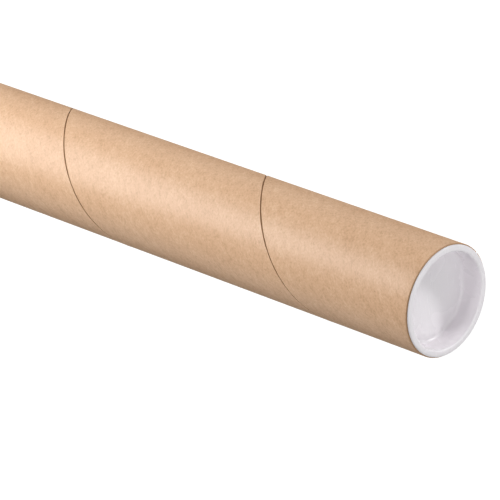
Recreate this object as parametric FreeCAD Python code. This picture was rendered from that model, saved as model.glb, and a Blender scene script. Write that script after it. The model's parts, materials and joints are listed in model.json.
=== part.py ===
# A cardboard mailing tube, standing on end: a spiral-wound kraft tube with a white
# plastic cap pushed into each end. Lengths are in millimetres. The origin is at the middle
# of the foot, on the floor, and +Z runs along the tube to the other cap.
import FreeCAD
import Part

import math
import os

from FreeCAD import Vector

# The wound wall
bore_diameter = 50.8        # inside width, a stock 2 in tube
wall_thickness = 1.52       # 0.060 in of wound paperboard
tube_length = 457.2         # cut length, 18 in
outer_edge_rounding = 0.3   # where the saw's burr is worn off
inner_edge_rounding = 0.2

# The open seam between neighbouring turns of the outer ply, a right-handed helix
seam_pitch = 132.4          # rise of one turn
seam_width = 0.6            # across the gap
seam_depth = 0.35           # thickness of the outer ply
seam_below_top = 91.9       # from the tube's top edge down to the seam, on the -Y side

# The caps: a flange that covers the cut edge, and a cup that plugs the bore
flange_inset = 0.6          # how far its edge lies inside the tube's outer face
flange_thickness = 0.9
flange_rounding = 0.4       # outer rim, on the outward face
edge_relief = 0.3           # the rim stops this far short of the cut end
edge_relief_width = 0.4
edge_relief_rounding = 0.1
plug_length = 11.6          # from the flange's seat to the closed end
plug_clearance = 0.1        # radial gap at the root, where the plug is widest
plug_taper = 0.45           # how much the plug narrows, in radius, by its closed end
cup_wall = 2.1
cup_floor = 1.3
lip_rounding = 0.8          # from the flange's face into the cup
floor_rounding = 1.6        # inside, where the cup's wall meets its floor
plug_end_rounding = 2.2     # outside, at the closed end
gate_radius = 1.6           # moulding gate, a low button on the closed end
gate_height = 0.35
gate_rounding = 0.2

bore_radius = bore_diameter / 2
tube_radius = bore_radius + wall_thickness
flange_radius = tube_radius - flange_inset
seat_radius = flange_radius - edge_relief_width
tube_bottom = flange_thickness
tube_top = tube_bottom + tube_length
full_height = tube_top + flange_thickness

AXIS = Vector(0, 0, 1)
CENTRE = Vector(0, 0, 0)


def corner_points(before, corner, after, rounding):
    """Start, middle and end of the arc that rounds a corner of an outline."""
    back = (before - corner).normalize()
    ahead = (after - corner).normalize()
    half_angle = back.getAngle(ahead) / 2
    reach = rounding / math.tan(half_angle)
    to_centre = (back + ahead).normalize()
    centre = corner + to_centre * (rounding / math.sin(half_angle))
    return corner + back * reach, centre - to_centre * rounding, corner + ahead * reach


def turned(outline):
    """A solid of revolution about Z from a closed outline of (radius, height, rounding)."""
    corners = [Vector(radius, 0, height) for radius, height, _ in outline]
    count = len(outline)
    spans = []
    for index, (_, _, rounding) in enumerate(outline):
        corner = corners[index]
        if rounding:
            spans.append(corner_points(corners[index - 1], corner, corners[(index + 1) % count], rounding))
        else:
            spans.append((corner, None, corner))
    edges = []
    for index, (start, middle, end) in enumerate(spans):
        if middle is not None:
            edges.append(Part.Arc(start, middle, end).toShape())
        edges.append(Part.LineSegment(end, spans[(index + 1) % count][0]).toShape())
    face = Part.Face(Part.Wire(edges))
    return face.revolve(CENTRE, AXIS, 360)


def wound_wall():
    """The tube's wall from end to end, with its cut edges slightly rounded."""
    return turned([
        (bore_radius, tube_bottom, inner_edge_rounding),
        (tube_radius, tube_bottom, outer_edge_rounding),
        (tube_radius, tube_top, outer_edge_rounding),
        (bore_radius, tube_top, inner_edge_rounding),
    ])


def seam_cutter():
    """The strip of material that is missing along the seam, past both ends of the wall."""
    lead = math.atan2(seam_pitch, 2 * math.pi * tube_radius)
    overrun = seam_pitch / 8
    helix = Part.makeHelix(seam_pitch, tube_length + 2 * overrun, tube_radius)
    outward = Vector(1, 0, 0)
    across = Vector(0, -math.sin(lead), math.cos(lead))
    start = Vector(tube_radius, 0, 0)
    corners = [
        start + outward * radial + across * side
        for radial, side in (
            (-seam_depth, -seam_width / 2),
            (seam_depth, -seam_width / 2),
            (seam_depth, seam_width / 2),
            (-seam_depth, seam_width / 2),
        )
    ]
    section = Part.makePolygon(corners + corners[:1])
    strip = Part.Wire(helix.Edges).makePipeShell([section], True, True)
    strip_bottom = tube_bottom - overrun
    seam_height = tube_top - seam_below_top
    turn_at_bottom = -90 + 360 * (strip_bottom - seam_height) / seam_pitch
    strip.rotate(CENTRE, AXIS, turn_at_bottom)
    strip.translate(AXIS * strip_bottom)
    return strip


def kraft_tube():
    """The wall with the outer ply's seam running round it."""
    return wound_wall().cut(seam_cutter())


def bottom_cap():
    """A cap with its flange on the floor and its plug pointing up into the tube."""
    root_radius = bore_radius - plug_clearance
    end_radius = root_radius - plug_taper
    closed_end = flange_thickness + plug_length
    cup_bottom = closed_end - cup_floor
    return turned([
        (0, cup_bottom, 0),
        (end_radius - cup_wall, cup_bottom, floor_rounding),
        (root_radius - cup_wall, 0, lip_rounding),
        (flange_radius, 0, flange_rounding),
        (flange_radius, flange_thickness - edge_relief, edge_relief_rounding),
        (seat_radius, flange_thickness - edge_relief, edge_relief_rounding),
        (seat_radius, flange_thickness, 0),
        (root_radius, flange_thickness, 0),
        (end_radius, closed_end, plug_end_rounding),
        (gate_radius, closed_end, 0),
        (gate_radius, closed_end + gate_height, gate_rounding),
        (0, closed_end + gate_height, 0),
    ])


def top_cap():
    """The same cap turned over and seated in the upper end."""
    cap = bottom_cap()
    cap.rotate(CENTRE, Vector(1, 0, 0), 180)
    cap.translate(AXIS * full_height)
    return cap


def main():
    os.makedirs("parts", exist_ok=True)
    pieces = {
        "kraft_tube": kraft_tube(),
        "bottom_cap": bottom_cap(),
        "top_cap": top_cap(),
    }
    for name, shape in pieces.items():
        print(f"{name}: solids {len(shape.Solids)}, valid {shape.isValid()}, {shape.Volume:.0f} mm3")
        shape.exportStep(f"parts/{name}.step")


main()
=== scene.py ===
# %% [markdown]
# # A cardboard mailing tube
#
# The object is a spiral-wound kraft tube that stands on its end, with a white plastic cap
# pushed into each end. This lesson dresses its fixed frame of solids: the frame gives each
# piece's place and size, and the cells below give the pieces their final meshes and finishes.
# Everything is in metres, with +Z running up the tube.

# %% Load the frame
import json
import math

import bmesh
import bpy
from mathutils import Matrix, Vector

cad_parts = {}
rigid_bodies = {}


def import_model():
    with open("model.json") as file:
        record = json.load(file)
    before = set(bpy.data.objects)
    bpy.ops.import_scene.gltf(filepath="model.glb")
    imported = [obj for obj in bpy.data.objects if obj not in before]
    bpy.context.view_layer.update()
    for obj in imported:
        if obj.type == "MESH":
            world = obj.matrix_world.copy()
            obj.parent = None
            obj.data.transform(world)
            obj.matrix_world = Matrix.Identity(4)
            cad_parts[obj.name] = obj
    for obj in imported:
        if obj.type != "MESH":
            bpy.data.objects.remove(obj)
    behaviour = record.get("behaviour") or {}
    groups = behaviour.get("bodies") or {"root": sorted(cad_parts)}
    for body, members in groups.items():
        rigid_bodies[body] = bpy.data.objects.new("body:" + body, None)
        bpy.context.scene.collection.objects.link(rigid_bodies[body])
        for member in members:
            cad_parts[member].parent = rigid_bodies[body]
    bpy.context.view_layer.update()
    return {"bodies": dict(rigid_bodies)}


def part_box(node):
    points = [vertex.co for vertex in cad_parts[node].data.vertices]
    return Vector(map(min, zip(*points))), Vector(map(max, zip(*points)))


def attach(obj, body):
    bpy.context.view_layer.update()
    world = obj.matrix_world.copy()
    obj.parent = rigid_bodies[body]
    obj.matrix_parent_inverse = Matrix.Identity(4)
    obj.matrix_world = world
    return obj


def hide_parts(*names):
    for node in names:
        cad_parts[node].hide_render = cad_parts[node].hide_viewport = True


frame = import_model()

MM = 0.001
print("bodies:", sorted(frame["bodies"]))

# %% [markdown]
# ## The sizes that everything shares
#
# Outer sizes are read from the frame's solids, so that nothing here can drift away from them.
# Only what a box can't tell, such as the bore or the seam's rise, is written down as a number.
# The caps are a flange that lies on the tube's cut end and a cup that goes down the bore.

# %% Read the sizes
wall_low, wall_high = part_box("kraft_tube")
cap_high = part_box("top_cap")[1]

tube_radius = wall_high.x
tube_bottom = wall_low.z
tube_top = wall_high.z
full_height = cap_high.z
flange_radius = cap_high.x
flange_thickness = full_height - tube_top

bore_radius = 25.4 * MM
seam_pitch = 132.4 * MM
seam_below_top = 91.9 * MM
print(f"tube {2000 * tube_radius:.2f} mm wide, {1000 * (tube_top - tube_bottom):.1f} mm long")

# %% [markdown]
# ## The camera
#
# The photograph was taken through a long lens, from above the near cap, with the camera
# rolled so far that the tube seems to lie down. A long lens keeps the tube's two sides almost
# parallel. The camera is placed round the middle of the top rim: how high it looks from, how
# far away it is, how far it is rolled, and where in the picture the rim's middle falls.

# %% Set up the camera
photo_side = 500                      # the picture is square, this many pixels wide
rim_right_of_middle = 197.66          # pixels from the picture's middle to the rim's middle
rim_below_middle = 51.23
looks_down_by = math.radians(37.53)
camera_roll = math.radians(109.81)
camera_distance = 67.58 * tube_radius
camera_lens = 290.75                  # millimetres, on a 36 mm wide sensor
sensor_width = 36.0

rim_middle = Vector((0, 0, full_height))
to_camera = Vector((0, -math.cos(looks_down_by), math.sin(looks_down_by)))
level = Vector((0, 0, 1)).cross(to_camera).normalized()
upright = to_camera.cross(level)
rolled_right = level * math.cos(camera_roll) + upright * math.sin(camera_roll)
rolled_up = upright * math.cos(camera_roll) - level * math.sin(camera_roll)
facing_rim = Matrix((rolled_right, rolled_up, to_camera)).transposed()

pixels_per_unit = camera_lens / sensor_width * photo_side
rim_ray = Vector((rim_right_of_middle, -rim_below_middle, -pixels_per_unit))
aside = Vector((0, 0, -1)).rotation_difference(rim_ray).to_matrix()

camera_data = bpy.data.cameras.new("camera")
camera_data.lens = camera_lens
camera_data.sensor_width = sensor_width
camera_data.clip_end = 100
camera = bpy.data.objects.new("camera", camera_data)
eye = rim_middle + to_camera * camera_distance
camera.matrix_world = Matrix.Translation(eye) @ (facing_rim @ aside.transposed()).to_4x4()
bpy.context.scene.collection.objects.link(camera)
bpy.context.scene.camera = camera
print(f"camera {camera_distance:.2f} m from the rim, lens {camera_lens:.0f} mm")

# %% [markdown]
# ## Shader sums written as Python
#
# A finish is a tree of nodes, and most of those nodes only add, subtract or multiply. The
# class below wraps a node's output so that such sums can be written as they are said:
# `1 - mask * 0.2` makes the Math nodes by itself. Every other node comes from one method,
# `node`, which takes the node's type, its settings, and the values or links of its sockets.

# %% A small language for finishes
class Reading:
    """One output of a shader node, which takes part in sums as a number does."""

    def __init__(self, recipe, socket):
        self.recipe = recipe
        self.socket = socket

    def __getitem__(self, output):
        return Reading(self.recipe, self.socket.node.outputs[output])

    def sum(self, operation, first, second):
        return self.recipe.node("ShaderNodeMath", {"operation": operation}, {0: first, 1: second})

    def __add__(self, other):
        return self.sum("ADD", self, other)

    def __sub__(self, other):
        return self.sum("SUBTRACT", self, other)

    def __mul__(self, other):
        return self.sum("MULTIPLY", self, other)

    def __truediv__(self, other):
        return self.sum("DIVIDE", self, other)

    def __pow__(self, other):
        return self.sum("POWER", self, other)

    def __rsub__(self, other):
        return self.sum("SUBTRACT", other, self)

    def __rtruediv__(self, other):
        return self.sum("DIVIDE", other, self)

    __radd__ = __add__
    __rmul__ = __mul__


class Recipe:
    """A node tree under construction, for a material or for the world."""

    def __init__(self, owner):
        owner.use_nodes = True
        self.owner = owner
        self.tree = owner.node_tree
        self.tree.nodes.clear()

    def node(self, kind, settings=None, sockets=None):
        made = self.tree.nodes.new(kind)
        for name, value in (settings or {}).items():
            if name == "stops":
                set_stops(made.color_ramp, value)
            else:
                setattr(made, name, value)
        for name, value in (sockets or {}).items():
            if isinstance(value, Reading):
                self.tree.links.new(value.socket, made.inputs[name])
            else:
                made.inputs[name].default_value = value
        return Reading(self, made.outputs[0]) if made.outputs else None

    def colour_mix(self, share, first, second, blend="MIX"):
        """A colour between first and second, by share, or first changed by second."""
        settings = {"data_type": "RGBA", "blend_type": blend}
        return self.node("ShaderNodeMix", settings, {0: share, 6: first, 7: second})[2]

    def between(self, value, low, high, to_low=0.0, to_high=1.0):
        """A smooth step: to_low below low, to_high above high."""
        sockets = {0: value, 1: low, 2: high, 3: to_low, 4: to_high}
        return self.node("ShaderNodeMapRange", {"interpolation_type": "SMOOTHSTEP"}, sockets)

    def noise(self, where, scale, detail=2.0, roughness=0.5, distortion=0.0):
        sockets = {
            "Vector": where, "Scale": scale, "Detail": detail,
            "Roughness": roughness, "Distortion": distortion,
        }
        return self.node("ShaderNodeTexNoise", {}, sockets)

    def stretched(self, where, along, across, turn=0.0):
        """The same place with its two directions scaled apart, after a turn."""
        sockets = {"Vector": where, "Rotation": (0, 0, turn), "Scale": (along, across, 1)}
        return self.node("ShaderNodeMapping", {"vector_type": "TEXTURE"}, sockets)


def set_stops(ramp, stops):
    """Give a colour ramp its stops, as (position, colour) pairs."""
    while len(ramp.elements) > 1:
        ramp.elements.remove(ramp.elements[-1])
    ramp.elements[0].position, ramp.elements[0].color = stops[0]
    for position, colour in stops[1:]:
        ramp.elements.new(position).color = colour


print("shader language ready")

# %% [markdown]
# ## Kraft paperboard
#
# The wall is wound from strips of unbleached kraft paper. Seen close, such paper is cloudy
# where the pulp lay thicker, and it is full of fibres, most of them along the strip, with a
# few dark specks of bark. It has no gloss of its own, but the winding belt polishes it a
# little, so it takes a broad, soft highlight. Seen along the surface, the nap hides that polish,
# so the shine is mixed out toward the tube's edges. All of this is laid out in the strip's own
# directions, along and across the winding, which the mesh below carries as a UV map in metres.

# %% Kraft finish
KRAFT = (0.66, 0.415, 0.25, 1)
KRAFT_PALE = (0.73, 0.49, 0.315, 1)
KRAFT_DEEP = (0.56, 0.335, 0.19, 1)
FIBRE_DARK = (0.40, 0.205, 0.10, 1)
FIBRE_PALE = (0.84, 0.60, 0.40, 1)
GLUE_BROWN = (0.24, 0.115, 0.045, 1)
WINDING = "winding"


def fibres(recipe, where, turn, length, width, share):
    """A mask of short fibres that lie at one angle to the strip, each with ragged ends."""
    place = recipe.stretched(where, length, width, turn)
    grain = recipe.noise(place, 1.0, detail=1.0, distortion=0.25)
    return recipe.between(grain, 1 - share, 1 - share + 0.08)


def kraft_paper(name, shade=1.0, polish=1.0):
    """Kraft paper laid out along the winding. shade darkens it, polish takes the nap down."""
    recipe = Recipe(bpy.data.materials.new(name))
    where = recipe.node("ShaderNodeUVMap", {"uv_map": WINDING})
    cloud = recipe.noise(recipe.stretched(where, 0.040, 0.022), 1.0, detail=3.0)
    mottle = recipe.noise(recipe.stretched(where, 0.0042, 0.0032), 1.0, detail=3.0, roughness=0.6)
    grain = recipe.noise(recipe.stretched(where, 0.0013, 0.0010), 1.0, detail=2.0, roughness=0.65)
    streak = recipe.noise(recipe.stretched(where, 0.30, 0.0035), 1.0, detail=2.0)
    tone = (cloud - 0.5) * 0.9 + (mottle - 0.5) * 2.4 + (grain - 0.5) * 3.0 + (streak - 0.5) * 0.5
    pale = recipe.colour_mix(recipe.between(tone, 0.0, 0.75), KRAFT, KRAFT_PALE)
    colour = recipe.colour_mix(recipe.between(tone * -1.0, 0.0, 0.75), pale, KRAFT_DEEP)
    dark_fibre = fibres(recipe, where, math.radians(14), 0.0024, 0.00019, 0.37)
    cross_fibre = fibres(recipe, where, math.radians(-52), 0.0017, 0.00016, 0.34)
    pale_fibre = fibres(recipe, where, math.radians(-9), 0.0028, 0.00022, 0.37)
    colour = recipe.colour_mix(dark_fibre * 0.35, colour, FIBRE_DARK)
    colour = recipe.colour_mix(cross_fibre * 0.22, colour, FIBRE_DARK)
    colour = recipe.colour_mix(pale_fibre * 0.30, colour, FIBRE_PALE)
    speck_cells = recipe.node(
        "ShaderNodeTexVoronoi", {"feature": "F1"},
        {"Vector": recipe.stretched(where, 0.0052, 0.0036), "Scale": 1.0},
    )
    chosen = recipe.node("ShaderNodeSeparateColor", {}, {0: speck_cells["Color"]})
    speck = recipe.between(speck_cells, 0.085, 0.04) * recipe.between(chosen, 0.60, 0.62)
    colour = recipe.colour_mix(speck * 0.65, colour, FIBRE_DARK)
    shaded = recipe.colour_mix(1.0, colour, (shade, shade * 0.985, shade * 0.96, 1), "MULTIPLY")
    rough = 0.42 + (mottle - 0.5) * 0.16 + (grain - 0.5) * 0.12 + (1 - polish) * 0.25
    height = mottle * 0.5 + grain * 0.5 + dark_fibre * 0.35 + pale_fibre * 0.45
    nap = recipe.node("ShaderNodeBump", {}, {"Strength": 0.35, "Distance": 0.05 * MM, "Height": height})
    surface = recipe.node("ShaderNodeBsdfPrincipled", {}, {
        "Base Color": shaded, "Roughness": rough, "Normal": nap, "Specular IOR Level": 0.5 * polish,
    })
    matt = recipe.node("ShaderNodeBsdfPrincipled", {}, {
        "Base Color": shaded, "Roughness": rough, "Normal": nap, "Specular IOR Level": 0.0,
    })
    glancing = recipe.node("ShaderNodeLayerWeight", {}, {"Blend": 0.5})["Facing"]
    paper = recipe.node("ShaderNodeMixShader", {}, {
        0: recipe.between(glancing, 0.42, 0.80, 0.0, 0.75), 1: surface, 2: matt,
    })
    recipe.node("ShaderNodeOutputMaterial", {}, {"Surface": paper})
    return recipe.owner


outer_paper = kraft_paper("kraft_outer_ply")
liner_paper = kraft_paper("kraft_liner", shade=0.86, polish=0.3)
print("kraft finishes:", outer_paper.name, liner_paper.name)

# %% [markdown]
# The sawn ends and the gap of the seam show the board's raw inside: darker, matt, with the
# glue lines between plies as thin brown rings. Those rings lie at fixed distances from the
# axis, so this finish reads the place in space and works out its own distance from it. The
# seam's gap is painted darker still: partly glue stain, partly painted shade for the shadow
# down in the narrow gap.

# %% Raw board finish
RAW_BOARD = (0.47, 0.30, 0.18, 1)
plies = 4
ply_thickness = (tube_radius - bore_radius) / plies


def raw_board():
    """Cut paperboard: fuzzy, matt, with a glue line between each ply and the next."""
    recipe = Recipe(bpy.data.materials.new("kraft_cut_board"))
    where = recipe.node("ShaderNodeTexCoord")["Object"]
    apart = recipe.node("ShaderNodeSeparateXYZ", {}, {0: where})
    from_axis = (apart["X"] ** 2 + apart["Y"] ** 2) ** 0.5
    fuzz = recipe.noise(where, 1 / 0.0005, detail=3.0, roughness=0.7)
    blotch = recipe.noise(where, 1 / 0.004, detail=2.0)
    ply = (from_axis - bore_radius) / ply_thickness + (blotch - 0.5) * 0.12
    within = recipe.node("ShaderNodeMath", {"operation": "FRACT"}, {0: ply + 0.5})
    to_line = recipe.node("ShaderNodeMath", {"operation": "ABSOLUTE"}, {0: within - 0.5})
    glue = recipe.between(to_line, 0.10, 0.03)
    tone = recipe.between(fuzz * 0.7 + blotch * 0.3, 0.3, 0.7)
    board = recipe.colour_mix(tone, KRAFT_DEEP, RAW_BOARD)
    colour = recipe.colour_mix(glue * 0.6, board, GLUE_BROWN)
    nap = recipe.node("ShaderNodeBump", {}, {
        "Strength": 0.6, "Distance": 0.08 * MM, "Height": fuzz - glue * 0.4,
    })
    surface = recipe.node("ShaderNodeBsdfPrincipled", {}, {
        "Base Color": colour, "Roughness": 0.85 + (fuzz - 0.5) * 0.15, "Normal": nap,
        "Specular IOR Level": 0.25,
    })
    recipe.node("ShaderNodeOutputMaterial", {}, {"Surface": surface})
    return recipe.owner


def gap_glue_and_shadow():
    """The ply below, seen down the seam's gap: dark brown, partly glue stain and partly painted shade
    for the shadow in the gap.
    """
    recipe = Recipe(bpy.data.materials.new("kraft_seam_gap"))
    where = recipe.node("ShaderNodeUVMap", {"uv_map": WINDING})
    stain = recipe.noise(recipe.stretched(where, 0.009, 0.0006), 1.0, detail=3.0)
    # Both browns hold painted shade as well as glue stain: the gap is painted darker than the ply is.
    colour = recipe.colour_mix(recipe.between(stain, 0.35, 0.65), GLUE_BROWN, (0.33, 0.185, 0.085, 1))
    surface = recipe.node("ShaderNodeBsdfPrincipled", {}, {
        "Base Color": colour, "Roughness": 0.75 + (stain - 0.5) * 0.2, "Specular IOR Level": 0.3,
    })
    recipe.node("ShaderNodeOutputMaterial", {}, {"Surface": surface})
    return recipe.owner


cut_board = raw_board()
gap_board = gap_glue_and_shadow()
print("raw board finishes:", cut_board.name, gap_board.name)

# %% [markdown]
# ## The wound tube
#
# On the real tube the outermost strip is wound in a helix, and each turn stops just short of
# the one before it, so an open seam about half a millimetre wide runs round the tube like the
# stripe of a barber's pole. A plain cylinder with a painted line would look flat there.
# Instead the wall is a grid whose rows follow the seam, so that the gap, its soft cut edges and
# the slight lift beside it are real shape. Rows that would run past a cut end are held at it.

# %% The seam's helix
lead_angle = math.atan2(seam_pitch, 2 * math.pi * tube_radius)
columns = 192
HALF_TURN = math.pi
SHARP_ANGLE = math.radians(50)        # faces that meet more sharply than this keep a hard edge


def seam_height(around, pitch_shift=0.0):
    """Height of the seam's middle at an angle round the tube, counted on over whole turns."""
    turns = (around + HALF_TURN / 2) / (2 * HALF_TURN) + pitch_shift
    return tube_top - seam_below_top + seam_pitch * turns


def waver(around, depth, seeds):
    """A slow, irregular wander along the helix, between -depth and depth."""
    return depth * sum(math.sin(around * rate + start) for rate, start in seeds) / len(seeds)


WIDTH_WANDER = ((1.7, 0.4), (3.9, 2.2), (8.3, 4.0), (17.0, 1.1))
EDGE_WANDER = ((2.3, 1.9), (5.1, 0.3), (11.7, 3.3), (23.0, 5.2))


class Seam:
    """An open seam between neighbouring turns of a ply."""

    def __init__(self, width, depth, lift, lift_reach, shift=0.0, outward=1):
        self.width, self.depth = width, depth
        self.lift, self.lift_reach = lift, lift_reach
        self.shift, self.outward = shift, outward
        self.edge_round = depth * 0.3
        self.flat_share = 0.86            # of the half-width; beyond it the gap's side climbs
        self.steps = [0.0, 0.35, 0.70, self.flat_share, 0.95, 1.0]

    def half_width(self, around):
        """Half the gap's width at an angle round the helix."""
        return self.width / 2 * (1 + waver(around, 0.30, WIDTH_WANDER))

    def relief(self, around, across):
        """How far the paper stands proud of the wall, at a distance across from the seam."""
        half = self.half_width(around)
        beyond = abs(across) - half
        if beyond <= 0:
            wall_share = max(0.0, (abs(across) / half - self.flat_share) / (1 - self.flat_share))
            return -self.depth + (self.depth - self.edge_round) * wall_share
        rounded = self.edge_round * max(0.0, 1 - beyond / (self.edge_round * 1.5)) ** 2
        raised = self.lift * math.exp(-beyond / self.lift_reach)
        raised *= 1 + waver(around, 0.6, EDGE_WANDER) * (1 if across > 0 else -1)
        return raised - rounded

    def rows(self):
        """Distances across the strip from the seam, in half-widths close to it, then in metres."""
        near = [("half", share) for share in self.steps]
        edge_distances = [0.04, 0.08, 0.16, 0.35, 0.7, 1.3, 2.2, 3.6, 6.0]
        far = [("off", distance * MM) for distance in edge_distances]
        plain_from = edge_distances[-1] * MM
        half_strip = seam_pitch * math.cos(lead_angle) / 2
        plain_steps = 8
        span = half_strip - plain_from
        far += [("off", plain_from + span * (step + 1) / plain_steps) for step in range(plain_steps - 1)]
        side = near[1:] + far
        mirrored = [(kind, -size) for kind, size in reversed(side)]
        return mirrored + [near[0]] + side + [("mid", half_strip)]

    def place(self, row, around):
        """The distance across from the seam that a row stands for at this angle."""
        kind, size = row
        half = self.half_width(around)
        if kind == "half":
            return size * half
        if kind == "mid":
            return size
        return size + math.copysign(half, size)


outer_seam = Seam(0.6 * MM, 0.35 * MM, 0.05 * MM, 1.2 * MM)
inner_seam = Seam(0.4 * MM, 0.20 * MM, 0.03 * MM, 1.0 * MM, shift=0.43, outward=-1)
print(f"seam rises {1000 * seam_pitch:.1f} mm a turn, at {math.degrees(lead_angle):.1f} degrees")

# %% [markdown]
# The grid is gathered ring by ring in one small class. It has one more column than it needs,
# because after a whole turn each row meets the row of the next turn up. The doubled points are
# merged at the end. Each corner of a face also gets its place along and across the winding.

# %% Gather points and faces
OUTER, LINER, CUT, GAP = range(4)


class Wall:
    """Points, faces, finishes and winding places of the tube's wall, gathered piece by piece."""

    def __init__(self):
        self.mesh = bmesh.new()
        self.places = self.mesh.loops.layers.uv.new(WINDING)

    def point(self, radius, around, height):
        return self.mesh.verts.new((radius * math.cos(around), radius * math.sin(around), height))

    def skin(self, rings, finish, places=None):
        """Faces between neighbouring rings of points. finish and places say what each face gets."""
        for row, (lower, upper) in enumerate(zip(rings, rings[1:])):
            for column in range(columns):
                corners = [(row, column), (row, column + 1), (row + 1, column + 1), (row + 1, column)]
                face = self.mesh.faces.new([rings[r][c] for r, c in corners])
                face.material_index = finish(row)
                face.smooth = True
                if places:
                    for loop, (r, c) in zip(face.loops, corners):
                        loop[self.places].uv = places(row, r, c)


def column_angle(column):
    return -HALF_TURN + 2 * HALF_TURN * column / columns


def face_relief(seam, around, height):
    """Relief of a ply's face at any place, from its distance to the nearest seam."""
    turns_off = (height - seam_height(around, seam.shift)) / seam_pitch
    nearest = round(turns_off)
    across = (turns_off - nearest) * seam_pitch * math.cos(lead_angle)
    return seam.outward * seam.relief(around + 2 * HALF_TURN * nearest, across)


print(f"{columns} columns round the tube")

# %% [markdown]
# The outer face and the bore are wound by one function. It lays a ring for every row of every
# turn, stands each point off the wall by the seam's relief, and holds it between the cut ends.
# Rows that lie past an end altogether are left out, and the ones nearest to it are kept, so
# that the face reaches the end everywhere.

# %% Wind one face
def wound_face(wall, radius, seam, low, high, paper):
    """One face of the wall from low to high, with its rows along the seam."""
    rows = seam.rows()
    first = math.floor((low - seam_height(HALF_TURN, seam.shift)) / seam_pitch) - 1
    last = math.ceil((high - seam_height(-HALF_TURN, seam.shift)) / seam_pitch) + 1
    rings, labels, heights = [], [], []
    for turn in range(first, last + 1):
        for row in rows:
            ring, ring_heights = [], []
            for column in range(columns + 1):
                around = column_angle(column)
                across = seam.place(row, around + 2 * HALF_TURN * turn)
                middle = seam_height(around, seam.shift) + turn * seam_pitch
                true_height = middle + across / math.cos(lead_angle)
                height = min(max(true_height, low), high)
                if height == true_height:
                    relief = seam.outward * seam.relief(around + 2 * HALF_TURN * turn, across)
                else:
                    relief = face_relief(seam, around, height)
                ring.append((radius + relief, around, height))
                ring_heights.append(height)
            rings.append(ring)
            labels.append((turn, row))
            heights.append(ring_heights)
    lowest_row = max(index for index, held in enumerate(heights) if max(held) <= low)
    highest_row = min(index for index, held in enumerate(heights) if min(held) >= high)
    kept = slice(lowest_row, highest_row + 1)
    rings, labels, heights = rings[kept], labels[kept], heights[kept]
    points = [[wall.point(*place) for place in ring] for ring in rings]

    def finish(row):
        kind, size = labels[row][1]
        upper_kind, upper_size = labels[row + 1][1]
        in_gap = kind == "half" and upper_kind == "half"
        return GAP if in_gap and max(abs(size), abs(upper_size)) <= 1.0 else paper

    def places(row, ring, column):
        turn, (_, size) = labels[row]
        strip = turn if size >= 0 else turn - 1
        around = (column_angle(column) + 2 * HALF_TURN * strip) * radius
        height = heights[ring][column]
        along = around * math.cos(lead_angle) + height * math.sin(lead_angle)
        across = height * math.cos(lead_angle) - around * math.sin(lead_angle)
        return along, across

    wall.skin(points, finish, places)


print(f"{len(outer_seam.rows())} rows to a turn of the outer face")

# %% [markdown]
# A saw cuts the tube to length. The cut is square, its edges are worn a little round, and each
# glue line shows as a shallow crease between two plies. The rings run from the outer face over
# the worn edge, across the board and over the other edge into the bore.

# %% Close the sawn ends
saw_round = 0.2 * MM
bore_round = 0.2 * MM
crease_depth = 0.05 * MM
crease_half_width = 0.03              # as a share of the board's thickness


def sawn_end(wall, height, outward):
    """One cut end. outward is 1 for the upper end and -1 for the lower."""
    outer_height = height - outward * saw_round
    bore_height = height - outward * bore_round
    rings = []
    arc = [math.radians(angle) for angle in (0, 22.5, 45, 67.5, 90)]
    shares = []
    for line in range(1, plies):
        crease = line / plies
        shares.append((crease - crease_half_width, 0.0))
        shares.append((crease, crease_depth))
        shares.append((crease + crease_half_width, 0.0))

    def ring(place):
        return [place(column_angle(column)) for column in range(columns + 1)]

    def outer_relief(around):
        return face_relief(outer_seam, around, outer_height)

    def bore_relief(around):
        return face_relief(inner_seam, around, bore_height)

    for bend in arc:
        drop = saw_round * (1 - math.cos(bend))
        rise = outward * saw_round * math.sin(bend)
        rings.append(ring(lambda a: (tube_radius + outer_relief(a) - drop, a, outer_height + rise)))
    for share, dip in shares:
        def across_wall(a):
            start = tube_radius + outer_relief(a) - saw_round
            end = bore_radius + bore_relief(a) + bore_round
            return start + (end - start) * share, a, height - outward * dip

        rings.append(ring(across_wall))
    for bend in reversed(arc):
        drop = bore_round * (1 - math.cos(bend))
        rise = outward * bore_round * math.sin(bend)
        rings.append(ring(lambda a: (bore_radius + bore_relief(a) + drop, a, bore_height + rise)))
    points = [[wall.point(*place) for place in one] for one in rings]
    wall.skin(points, lambda row: CUT)


print(f"board {1000 * (tube_radius - bore_radius):.2f} mm thick, in {plies} plies")

# %% [markdown]
# Now the four parts meet: two faces and two ends. Merging the doubled points makes one closed
# skin, and a count of the edges without two faces proves it: it has to be 0.

# %% Build the wall
merge_within = 0.002 * MM             # points nearer to each other than this are one


def build_tube():
    """The wall's finished mesh, with its four finishes."""
    wall = Wall()
    low, high = tube_bottom, tube_top
    wound_face(wall, tube_radius, outer_seam, low + saw_round, high - saw_round, OUTER)
    wound_face(wall, bore_radius, inner_seam, low + bore_round, high - bore_round, LINER)
    sawn_end(wall, high, 1)
    sawn_end(wall, low, -1)
    bmesh.ops.remove_doubles(wall.mesh, verts=wall.mesh.verts, dist=merge_within)
    bmesh.ops.dissolve_degenerate(wall.mesh, edges=wall.mesh.edges, dist=merge_within / 2)
    bmesh.ops.recalc_face_normals(wall.mesh, faces=wall.mesh.faces)
    open_edges = sum(1 for edge in wall.mesh.edges if len(edge.link_faces) != 2)
    data = bpy.data.meshes.new("wound_tube")
    wall.mesh.to_mesh(data)
    wall.mesh.free()
    for finish in (outer_paper, liner_paper, cut_board, gap_board):
        data.materials.append(finish)
    data.set_sharp_from_angle(angle=SHARP_ANGLE)
    print(f"tube: {len(data.polygons)} faces, {open_edges} open edges")
    return data


tube = bpy.data.objects.new("wound_tube", build_tube())
bpy.context.scene.collection.objects.link(tube)
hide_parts("kraft_tube")
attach(tube, "tube")

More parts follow.
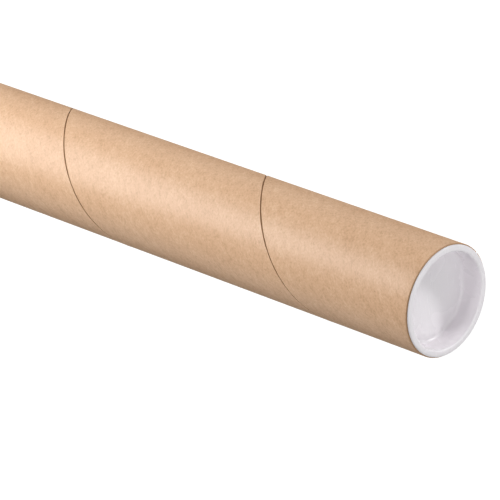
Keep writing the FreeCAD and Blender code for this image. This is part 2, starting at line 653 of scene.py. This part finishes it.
# %% [markdown]
# ## The white caps
#
# Each cap is one moulding of white polyethylene: a thin flange that lies on the tube's cut end,
# a soft lip, and a cup pushed down the bore. Its mould was turned on a lathe, and the cap is made
# that way here too: the outline's corners are given with their roundings, and the outline is
# swept round the axis. A moulding is never dead flat, so its floor is dished by a hair.

# %% Turn an outline into a shell
turn_steps = 160


def rounded_corner(before, corner, after, rounding, steps=7):
    """Points along the arc that rounds a corner of an outline."""
    back = (before - corner).normalized()
    ahead = (after - corner).normalized()
    half_angle = back.angle(ahead) / 2
    middle = corner + (back + ahead).normalized() * rounding / math.sin(half_angle)
    start = corner + back * rounding / math.tan(half_angle) - middle
    end = corner + ahead * rounding / math.tan(half_angle) - middle
    return [middle + start.slerp(end, step / steps) * rounding for step in range(steps + 1)]


def outline_points(outline, ease=0.12 * MM):
    """The outline with its corners rounded, and a point a little way along each straight."""
    corners = [Vector((radius, height)) for radius, height, _ in outline]
    arcs = []
    for index, (_, _, rounding) in enumerate(outline):
        if rounding:
            after = corners[(index + 1) % len(corners)]
            arcs.append(rounded_corner(corners[index - 1], corners[index], after, rounding))
        else:
            arcs.append([corners[index]])
    points = []
    for arc, following in zip(arcs, arcs[1:] + [None]):
        points += arc
        if following:
            run = following[0] - arc[-1]
            if run.length > 4 * ease:
                points += [arc[-1] + run.normalized() * ease, following[0] - run.normalized() * ease]
    return points


def turned_shell(name, points, material):
    """A closed shell from an outline that starts and ends on the axis."""
    shell = bmesh.new()
    rings = []
    for point in points:
        if point.x < 1e-6:
            rings.append([shell.verts.new((0, 0, point.y))])
            continue
        ring = []
        for step in range(turn_steps):
            around = 2 * HALF_TURN * step / turn_steps
            x, y = point.x * math.cos(around), point.x * math.sin(around)
            ring.append(shell.verts.new((x, y, point.y)))
        rings.append(ring)
    for lower, upper in zip(rings, rings[1:]):
        for step in range(turn_steps):
            following = (step + 1) % turn_steps
            corners = [lower[step % len(lower)], lower[following % len(lower)],
                       upper[following % len(upper)], upper[step % len(upper)]]
            face = shell.faces.new(list(dict.fromkeys(corners)))
            face.smooth = True
    bmesh.ops.recalc_face_normals(shell, faces=shell.faces)
    data = bpy.data.meshes.new(name)
    shell.to_mesh(data)
    shell.free()
    data.materials.append(material)
    data.set_sharp_from_angle(angle=SHARP_ANGLE)
    return data


print("ready to turn the caps")

# %% [markdown]
# The plastic is the milky, slightly waxy white of squeeze bottles. Light goes a little way in
# before it comes back, which softens the shadow down in the cup. The mould's polish
# leaves a satin gloss, with faint flow clouds and fine handling scuffs in it.

# %% White cap plastic
CAP_WHITE = (0.90, 0.865, 0.895, 1)
CAP_SHADE = (0.87, 0.832, 0.865, 1)


def white_plastic():
    """Milky satin plastic, with flow clouds, a faint orange peel and handling scuffs."""
    recipe = Recipe(bpy.data.materials.new("white_polyethylene"))
    where = recipe.node("ShaderNodeTexCoord")["Object"]
    flow = recipe.noise(where, 1 / 0.016, detail=2.0, distortion=0.6)
    orange_peel = recipe.noise(where, 1 / 0.0018, detail=2.0)
    scuffs = recipe.noise(recipe.stretched(where, 0.006, 0.0004, math.radians(33)), 1.0, detail=2.0)
    scuff = recipe.between(scuffs, 0.62, 0.72)
    colour = recipe.colour_mix(recipe.between(flow, 0.35, 0.75), CAP_WHITE, CAP_SHADE)
    rough = 0.27 + (flow - 0.5) * 0.10 + scuff * 0.05
    height = orange_peel * 0.6 + flow * 1.5 - scuff * 0.04
    nap = recipe.node("ShaderNodeBump", {}, {"Strength": 0.30, "Distance": 0.06 * MM, "Height": height})
    surface = recipe.node("ShaderNodeBsdfPrincipled", {}, {
        "Base Color": colour, "Roughness": rough, "Normal": nap,
        "Subsurface Weight": 0.4, "Subsurface Radius": (1.0, 0.97, 1.0), "Subsurface Scale": 2.0 * MM,
    })
    recipe.node("ShaderNodeOutputMaterial", {}, {"Surface": surface})
    return recipe.owner


cap_plastic = white_plastic()
print("cap finish:", cap_plastic.name)

# %% [markdown]
# Both caps come from the same outline, as they would from one mould. The lower one is as turned,
# plug up. The upper one is turned over, and it was pressed in by hand, so it isn't quite home:
# it stands a little proud and leans by a quarter of a degree, which opens a dark line under its
# flange on one side only.

# %% Make the two caps
plug_length = 11.6 * MM
plug_clearance = 0.1 * MM
plug_taper = 0.45 * MM
cup_wall = 2.1 * MM
cup_floor = 1.3 * MM
floor_dish = 0.12 * MM
gate_radius = 1.6 * MM                # the moulding's gate, a low button on the closed end
gate_height = 0.35 * MM
edge_relief = 0.04 * MM
brim_radius = flange_radius + 0.1 * MM
seat_radius = flange_radius - 0.4 * MM
stands_proud = 0.12 * MM              # the upper cap isn't pushed quite home,
leans = math.radians(0.26)            # and it sits a hair askew
leans_up_at = math.radians(75 - 90)   # with the rim highest 75 degrees round from the camera
root_radius = bore_radius - plug_clearance
end_radius = root_radius - plug_taper
closed_end = flange_thickness + plug_length
cup_bottom = closed_end - cup_floor

cap_outline = [
    (0, cup_bottom + floor_dish, 0),
    (end_radius * 0.5, cup_bottom + floor_dish * 0.7, 0),
    (end_radius - cup_wall, cup_bottom, 1.6 * MM),
    (root_radius - cup_wall, 0, 0.8 * MM),
    (brim_radius - 0.9 * MM, 0, 1.5 * MM),
    (brim_radius - 0.10 * MM, 0.26 * MM, 0.3 * MM),
    (brim_radius, flange_thickness - edge_relief, 0.1 * MM),
    (seat_radius, flange_thickness - edge_relief, 0.1 * MM),
    (seat_radius, flange_thickness, 0),
    (root_radius, flange_thickness, 0),
    (end_radius, closed_end, 2.2 * MM),
    (gate_radius, closed_end, 0),
    (gate_radius, closed_end + gate_height, 0.2 * MM),
    (0, closed_end + gate_height, 0),
]


def build_cap(name, node, body, place):
    """One cap, carried to its place, that stands for a node of the frame."""
    data = turned_shell(name, outline_points(cap_outline), cap_plastic)
    data.transform(place)
    cap = bpy.data.objects.new(name, data)
    bpy.context.scene.collection.objects.link(cap)
    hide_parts(node)
    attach(cap, body)
    print(f"{name}: {len(data.polygons)} faces")


askew = Matrix.Rotation(leans, 4, Vector((math.sin(leans_up_at), -math.cos(leans_up_at), 0)))
lifted = Matrix.Translation((0, 0, full_height + stands_proud))
turned_over = lifted @ askew @ Matrix.Rotation(HALF_TURN, 4, "X")
build_cap("lower_cap", "bottom_cap", "lower_plug", Matrix.Identity(4))
build_cap("upper_cap", "top_cap", "upper_plug", turned_over)

# %% [markdown]
# ## Floor and surroundings
#
# The tube stands on a plain pale floor with nothing behind it, and the photograph's ground is
# pure white. A brighter lamp would bleach the kraft, so the white comes another way: to the
# camera, and to rays that a glossy surface sends out, the floor and the world show white, while
# the light that they throw on the tube stays modest. The floor still takes the tube's shadow.

# %% Floor and world
floor_side = 60.0
WHITE = (1, 1, 1, 1)


def looked_at(recipe):
    """1 for rays that see a surface or the world, 0 for those that gather light."""
    path = recipe.node("ShaderNodeLightPath")
    seen = path["Is Camera Ray"] + path["Is Glossy Ray"] + path["Is Transmission Ray"]
    return recipe.node("ShaderNodeMath", {"operation": "MINIMUM"}, {0: seen, 1: 1.0})


def floor_finish():
    """Pale matt paint that shows white to whatever looks at it."""
    recipe = Recipe(bpy.data.materials.new("pale_floor"))
    speckle = recipe.noise(recipe.node("ShaderNodeTexCoord")["Object"], 1 / 0.05, detail=2.0)
    paint = recipe.colour_mix(speckle, (0.37, 0.37, 0.37, 1), (0.39, 0.39, 0.39, 1))
    shine = recipe.colour_mix(looked_at(recipe), (0, 0, 0, 1), WHITE)
    surface = recipe.node("ShaderNodeBsdfPrincipled", {}, {
        "Base Color": paint, "Roughness": 0.9, "Specular IOR Level": 0.0,
        "Emission Color": shine, "Emission Strength": 0.86,
    })
    recipe.node("ShaderNodeOutputMaterial", {}, {"Surface": surface})
    return recipe.owner


floor_data = bpy.data.meshes.new("floor")
half = floor_side / 2
floor_level = -0.02 * MM                # a hair below the foot, so that the two faces never coincide
floor_corners = [
    (-half, -half, floor_level), (half, -half, floor_level),
    (half, half, floor_level), (-half, half, floor_level),
]
floor_data.from_pydata(floor_corners, [], [(0, 1, 2, 3)])
floor_data.materials.append(floor_finish())
floor = bpy.data.objects.new("floor", floor_data)
bpy.context.scene.collection.objects.link(floor)

world = bpy.data.worlds.new("studio")
bpy.context.scene.world = world
sky = Recipe(world)
AMBIENT = (0.25, 0.25, 0.25, 1)
sky_light = sky.node("ShaderNodeBackground", {}, {
    "Color": sky.colour_mix(looked_at(sky), AMBIENT, WHITE), "Strength": 1.0,
})
sky.node("ShaderNodeOutputWorld", {}, {"Surface": sky_light})
print("floor and world are white to the camera")

# %% [markdown]
# ## Lights
#
# Each lamp has one job. A long panel lies on the floor in front and shines up: its reflection
# is the pale band along the tube, for the camera looks down and the wall mirrors what is low.
# Two broad panels, one in front and above, one high behind, give the round its soft shading
# and fill the cap. A small lamp low in front lights the far side of the cup. Another small one
# at the side rakes across the cap, so that the rim's shadow cuts the cup's floor in two.

# %% Lamps
def lamp(name, place, aim, width, height, power):
    """A panel of light at a place, facing its aim. Sizes are in metres, power in watts."""
    data = bpy.data.lights.new(name, "AREA")
    data.shape = "RECTANGLE"
    data.size, data.size_y = width, height
    data.energy = power
    made = bpy.data.objects.new(name, data)
    made.matrix_world = Matrix.LocRotScale(
        Vector(place), (Vector(aim) - Vector(place)).to_track_quat("-Z", "Y"), None)
    made.visible_camera = False
    bpy.context.scene.collection.objects.link(made)
    print(f"{name}: {power} W")
    return made


def round_about(azimuth, distance, height):
    """A place round the tube. Azimuth 0 is the camera's side and grows to its right."""
    turn = math.radians(azimuth)
    return Vector((math.sin(turn) * distance, -math.cos(turn) * distance, height))


def from_rim(azimuth, elevation, distance):
    """A place seen from the rim's middle at an azimuth and an elevation above the cap."""
    climb = math.radians(elevation)
    return round_about(azimuth, distance * math.cos(climb), full_height + distance * math.sin(climb))


card_middle = round_about(-4, 0.46, 0.012)
lamp("floor_card", card_middle, card_middle + Vector((0, 0, 1)), 0.32, 0.64, 3.3)
lamp("soft_box", from_rim(30, 52, 1.4), rim_middle, 1.20, 1.20, 6.2)
lamp("back_soft_box", from_rim(172, 70, 1.4), rim_middle, 1.20, 1.20, 3.6)
lamp("low_front_lamp", from_rim(-15, 5.5, 1.3), rim_middle, 0.10, 0.10, 2.4)
lamp("raking_lamp", from_rim(-103, 25.2, 1.3), rim_middle, 0.13, 0.13, 7.0)

bpy.context.scene.view_settings.view_transform = "Standard"
